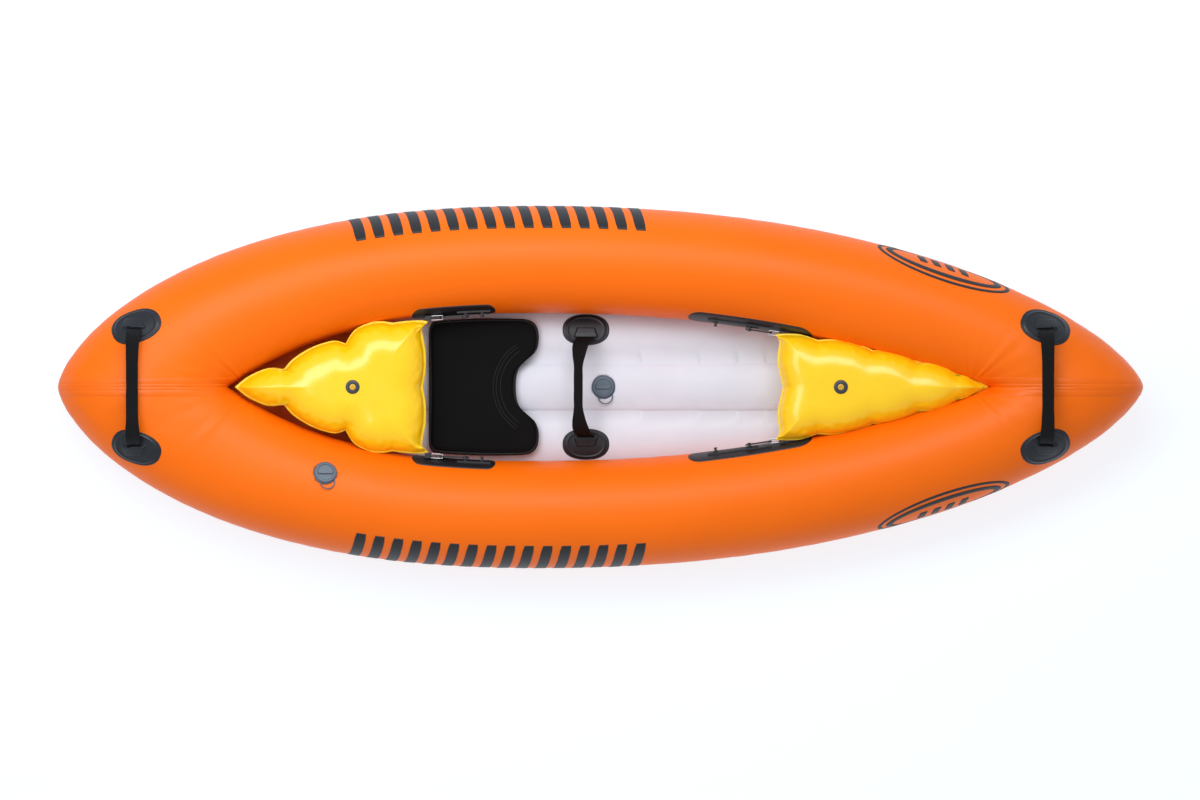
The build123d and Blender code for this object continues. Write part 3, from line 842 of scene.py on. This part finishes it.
def oval_mark(points, faces, centre, outer, inner, side):
    """Adds a thin ring-shaped mark between two ovals."""
    count, across = int(96 * max(FINE, 0.6)), 4
    start = len(points)
    for layer in INK_LAYERS:
        for k in range(count):
            a = 2 * math.pi * k / count
            for j in range(across + 1):
                half_x, half_turn = [o + (i - o) * j / across for o, i in zip(outer, inner)]
                spot = centre[0] + half_x * math.cos(a), centre[1] + half_turn * math.sin(a)
                points.append(hull_spot(*spot, side, layer))
    grid = count * (across + 1)
    for k in range(count):
        a0, b0 = start + k * (across + 1), start + (k + 1) % count * (across + 1)
        for j in range(across):
            a, b = a0 + j, b0 + j
            faces.append((a, b, b + 1, a + 1))
            faces.append((a + grid, a + 1 + grid, b + 1 + grid, b + grid))
        for j in (0, across):
            faces.append((a0 + j, b0 + j, b0 + j + grid, a0 + j + grid))


def slot_patch(name, low_x, high_x, middle_turn, half_turn, side, node):
    """Thin patch with round ends on the cockpit side of a tube, over a range of x."""
    rows, columns = int(64 * max(FINE, 0.6)), 10
    rounding = 0.11
    points = []
    for i in range(rows + 1):
        t = 0.5 - 0.5 * math.cos(math.pi * i / rows)
        near_end = max(1 - min(t, 1 - t) / rounding, 0)
        share = max(math.sqrt(max(1 - near_end ** 2, 0)), 0.04)
        x = low_x + (high_x - low_x) * t
        for lift in STRIP_LAYERS:
            line = [hull_spot(x, middle_turn + half_turn * share * (-1 + 2 * j / columns), side, lift)
                    for j in range(columns + 1)]
            points += line if lift > 0 else line[::-1]
    obj = dress(mesh_object(name, points, capped(rows + 1, 2 * (columns + 1))), "black_plastic")
    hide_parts(node)


for side_name, side in SIDES:
    for end_name, low_x, high_x in (("stern", -0.452, -0.252), ("bow", 0.210, 0.507)):
        slot_patch(
            f"{end_name}_anchor_strip_{side_name}", low_x, high_x, 161, 15, side,
            f"{end_name}_anchor_patch_{side_name}")

BAR_COUNT, BAR_START, BAR_STEP = 16, -0.610, 0.0447
OVAL_MIDDLE = (0.822, 17)    # x in metres, degrees up from the outer side
for side_name, side in SIDES:
    points, faces = [], []
    for k in range(BAR_COUNT):
        x = BAR_START + BAR_STEP * k
        corners = ((x, -9), (x + 0.026, -9), (x + 0.050, 54), (x + 0.024, 54))
        bar_mark(points, faces, corners, side, 8, 18)
    dress(mesh_object(f"flank_bars_{side_name}", points, faces), "print_ink")
    points, faces = [], []
    oval_mark(points, faces, OVAL_MIDDLE, (0.158, 31), (0.149, 27.5), side)
    oval_mark(points, faces, OVAL_MIDDLE, (0.138, 23.5), (0.122, 17.5), side)
    for k in range(4):
        x = 0.757 + 0.033 * k
        corners = ((x, 10), (x + 0.018, 10), (x + 0.028, 25), (x + 0.010, 25))
        bar_mark(points, faces, corners, side, 6, 8)
    dress(mesh_object(f"bow_oval_{side_name}", points, faces), "print_ink")


# ------------------------------------------------------------------ stage, light and camera
GROUND_COLOR, GROUND_GLOW = (0.24, 0.32, 0.44, 1), 0.77
SKY_COLOR, SKY_STRENGTH = (0.96, 0.98, 1.0, 1), 0.52
FRAME_WIDTH = 2.8756         # metres across the picture
bpy.ops.mesh.primitive_plane_add(size=30, location=(0, 0, -0.0005))
ground = bpy.context.object
ground.name = "studio_floor"
ground_mat = bpy.data.materials.new("studio_floor")
ground_mat.use_nodes = True
ground_shader = ground_mat.node_tree.nodes["Principled BSDF"]
ground_shader.inputs["Base Color"].default_value = GROUND_COLOR
ground_shader.inputs["Roughness"].default_value = 1.0
ground_shader.inputs["Specular IOR Level"].default_value = 0.0
ground_shader.inputs["Emission Color"].default_value = (1, 1, 1, 1)
ground_shader.inputs["Emission Strength"].default_value = GROUND_GLOW
ground.data.materials.append(ground_mat)

scene = bpy.context.scene
world = bpy.data.worlds.new("studio")
scene.world = world
world.use_nodes = True
sky = world.node_tree.nodes["Background"]
sky.inputs["Color"].default_value = SKY_COLOR
sky.inputs["Strength"].default_value = SKY_STRENGTH


def area_light(name, place, aim, size, power):
    light = bpy.data.lights.new(name, "AREA")
    light.shape = "RECTANGLE"
    light.size, light.size_y = size
    light.energy = power
    obj = bpy.data.objects.new(name, light)
    obj.location = place
    obj.rotation_euler = (Vector(aim) - Vector(place)).to_track_quat("-Z", "Y").to_euler()
    bpy.context.collection.objects.link(obj)


area_light("key", (-0.3, 1.5, 3.0), (0, 0, 0), (3.4, 1.4), 70)
area_light("crest", (-1.6, 0.2, 2.6), (-0.4, 0, 0), (1.2, 1.2), 16)

camera_data = bpy.data.cameras.new("camera")
camera_data.type = "ORTHO"
camera_data.ortho_scale = FRAME_WIDTH
camera_data.clip_end = 30
camera = bpy.data.objects.new("camera", camera_data)
camera.location = (-0.0012, -0.0312, 4.0)
bpy.context.collection.objects.link(camera)
scene.camera = camera
scene.view_settings.view_transform = "Standard"

bpy.context.view_layer.update()
